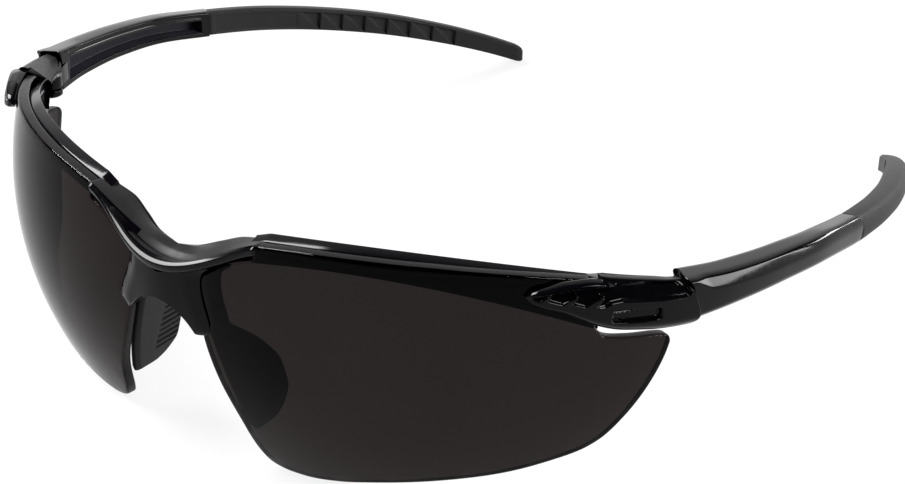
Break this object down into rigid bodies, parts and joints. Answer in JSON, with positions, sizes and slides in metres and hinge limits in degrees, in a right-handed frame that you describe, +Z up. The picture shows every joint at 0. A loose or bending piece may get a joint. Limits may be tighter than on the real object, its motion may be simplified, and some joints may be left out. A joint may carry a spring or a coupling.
{
  "type": "safety glasses",
  "caption": "Wraparound safety glasses with smoked half-rim lenses, black brow bar, soft nose pads and folding arms with soft curved tips.",
  "frame": {"origin": "centre of the bounding box in plan, at the surface the glasses rest on", "axes": "+X to the wearer's left, +Y back along the open arms, +Z up, with the glasses resting on the lens bottoms and the arm tips"},
  "size_m": [0.1562, 0.175, 0.045],
  "materials": {
    "frame_plastic": "polished black",
    "arm_plastic": "polished black",
    "lens_smoke": "polished tinted polycarbonate",
    "pad_rubber": "matte",
    "tip_rubber": "matte",
    "screw_steel": "turned"
  },
  "bodies": {
    "frame": {"front_frame": "frame_plastic", "lens_left": "lens_smoke", "lens_right": "lens_smoke", "nose_pad_left": "pad_rubber", "nose_pad_right": "pad_rubber", "hinge_screw_left": "screw_steel", "hinge_screw_right": "screw_steel"},
    "arm_left": {"arm_left": "arm_plastic", "arm_tip_left": "tip_rubber"},
    "arm_right": {"arm_right": "arm_plastic", "arm_tip_right": "tip_rubber"}
  },
  "joints": [
    {"name": "fold_left", "type": "hinge", "parent": "frame", "child": "arm_left", "pos_m": [0.068, -0.04382, 0.0342], "axis": [0, 0, 1], "range_deg": [0, 84]},
    {"name": "fold_right", "type": "hinge", "parent": "frame", "child": "arm_right", "pos_m": [-0.068, -0.04382, 0.0342], "axis": [0, 0, -1], "range_deg": [0, 76]}
  ]
}
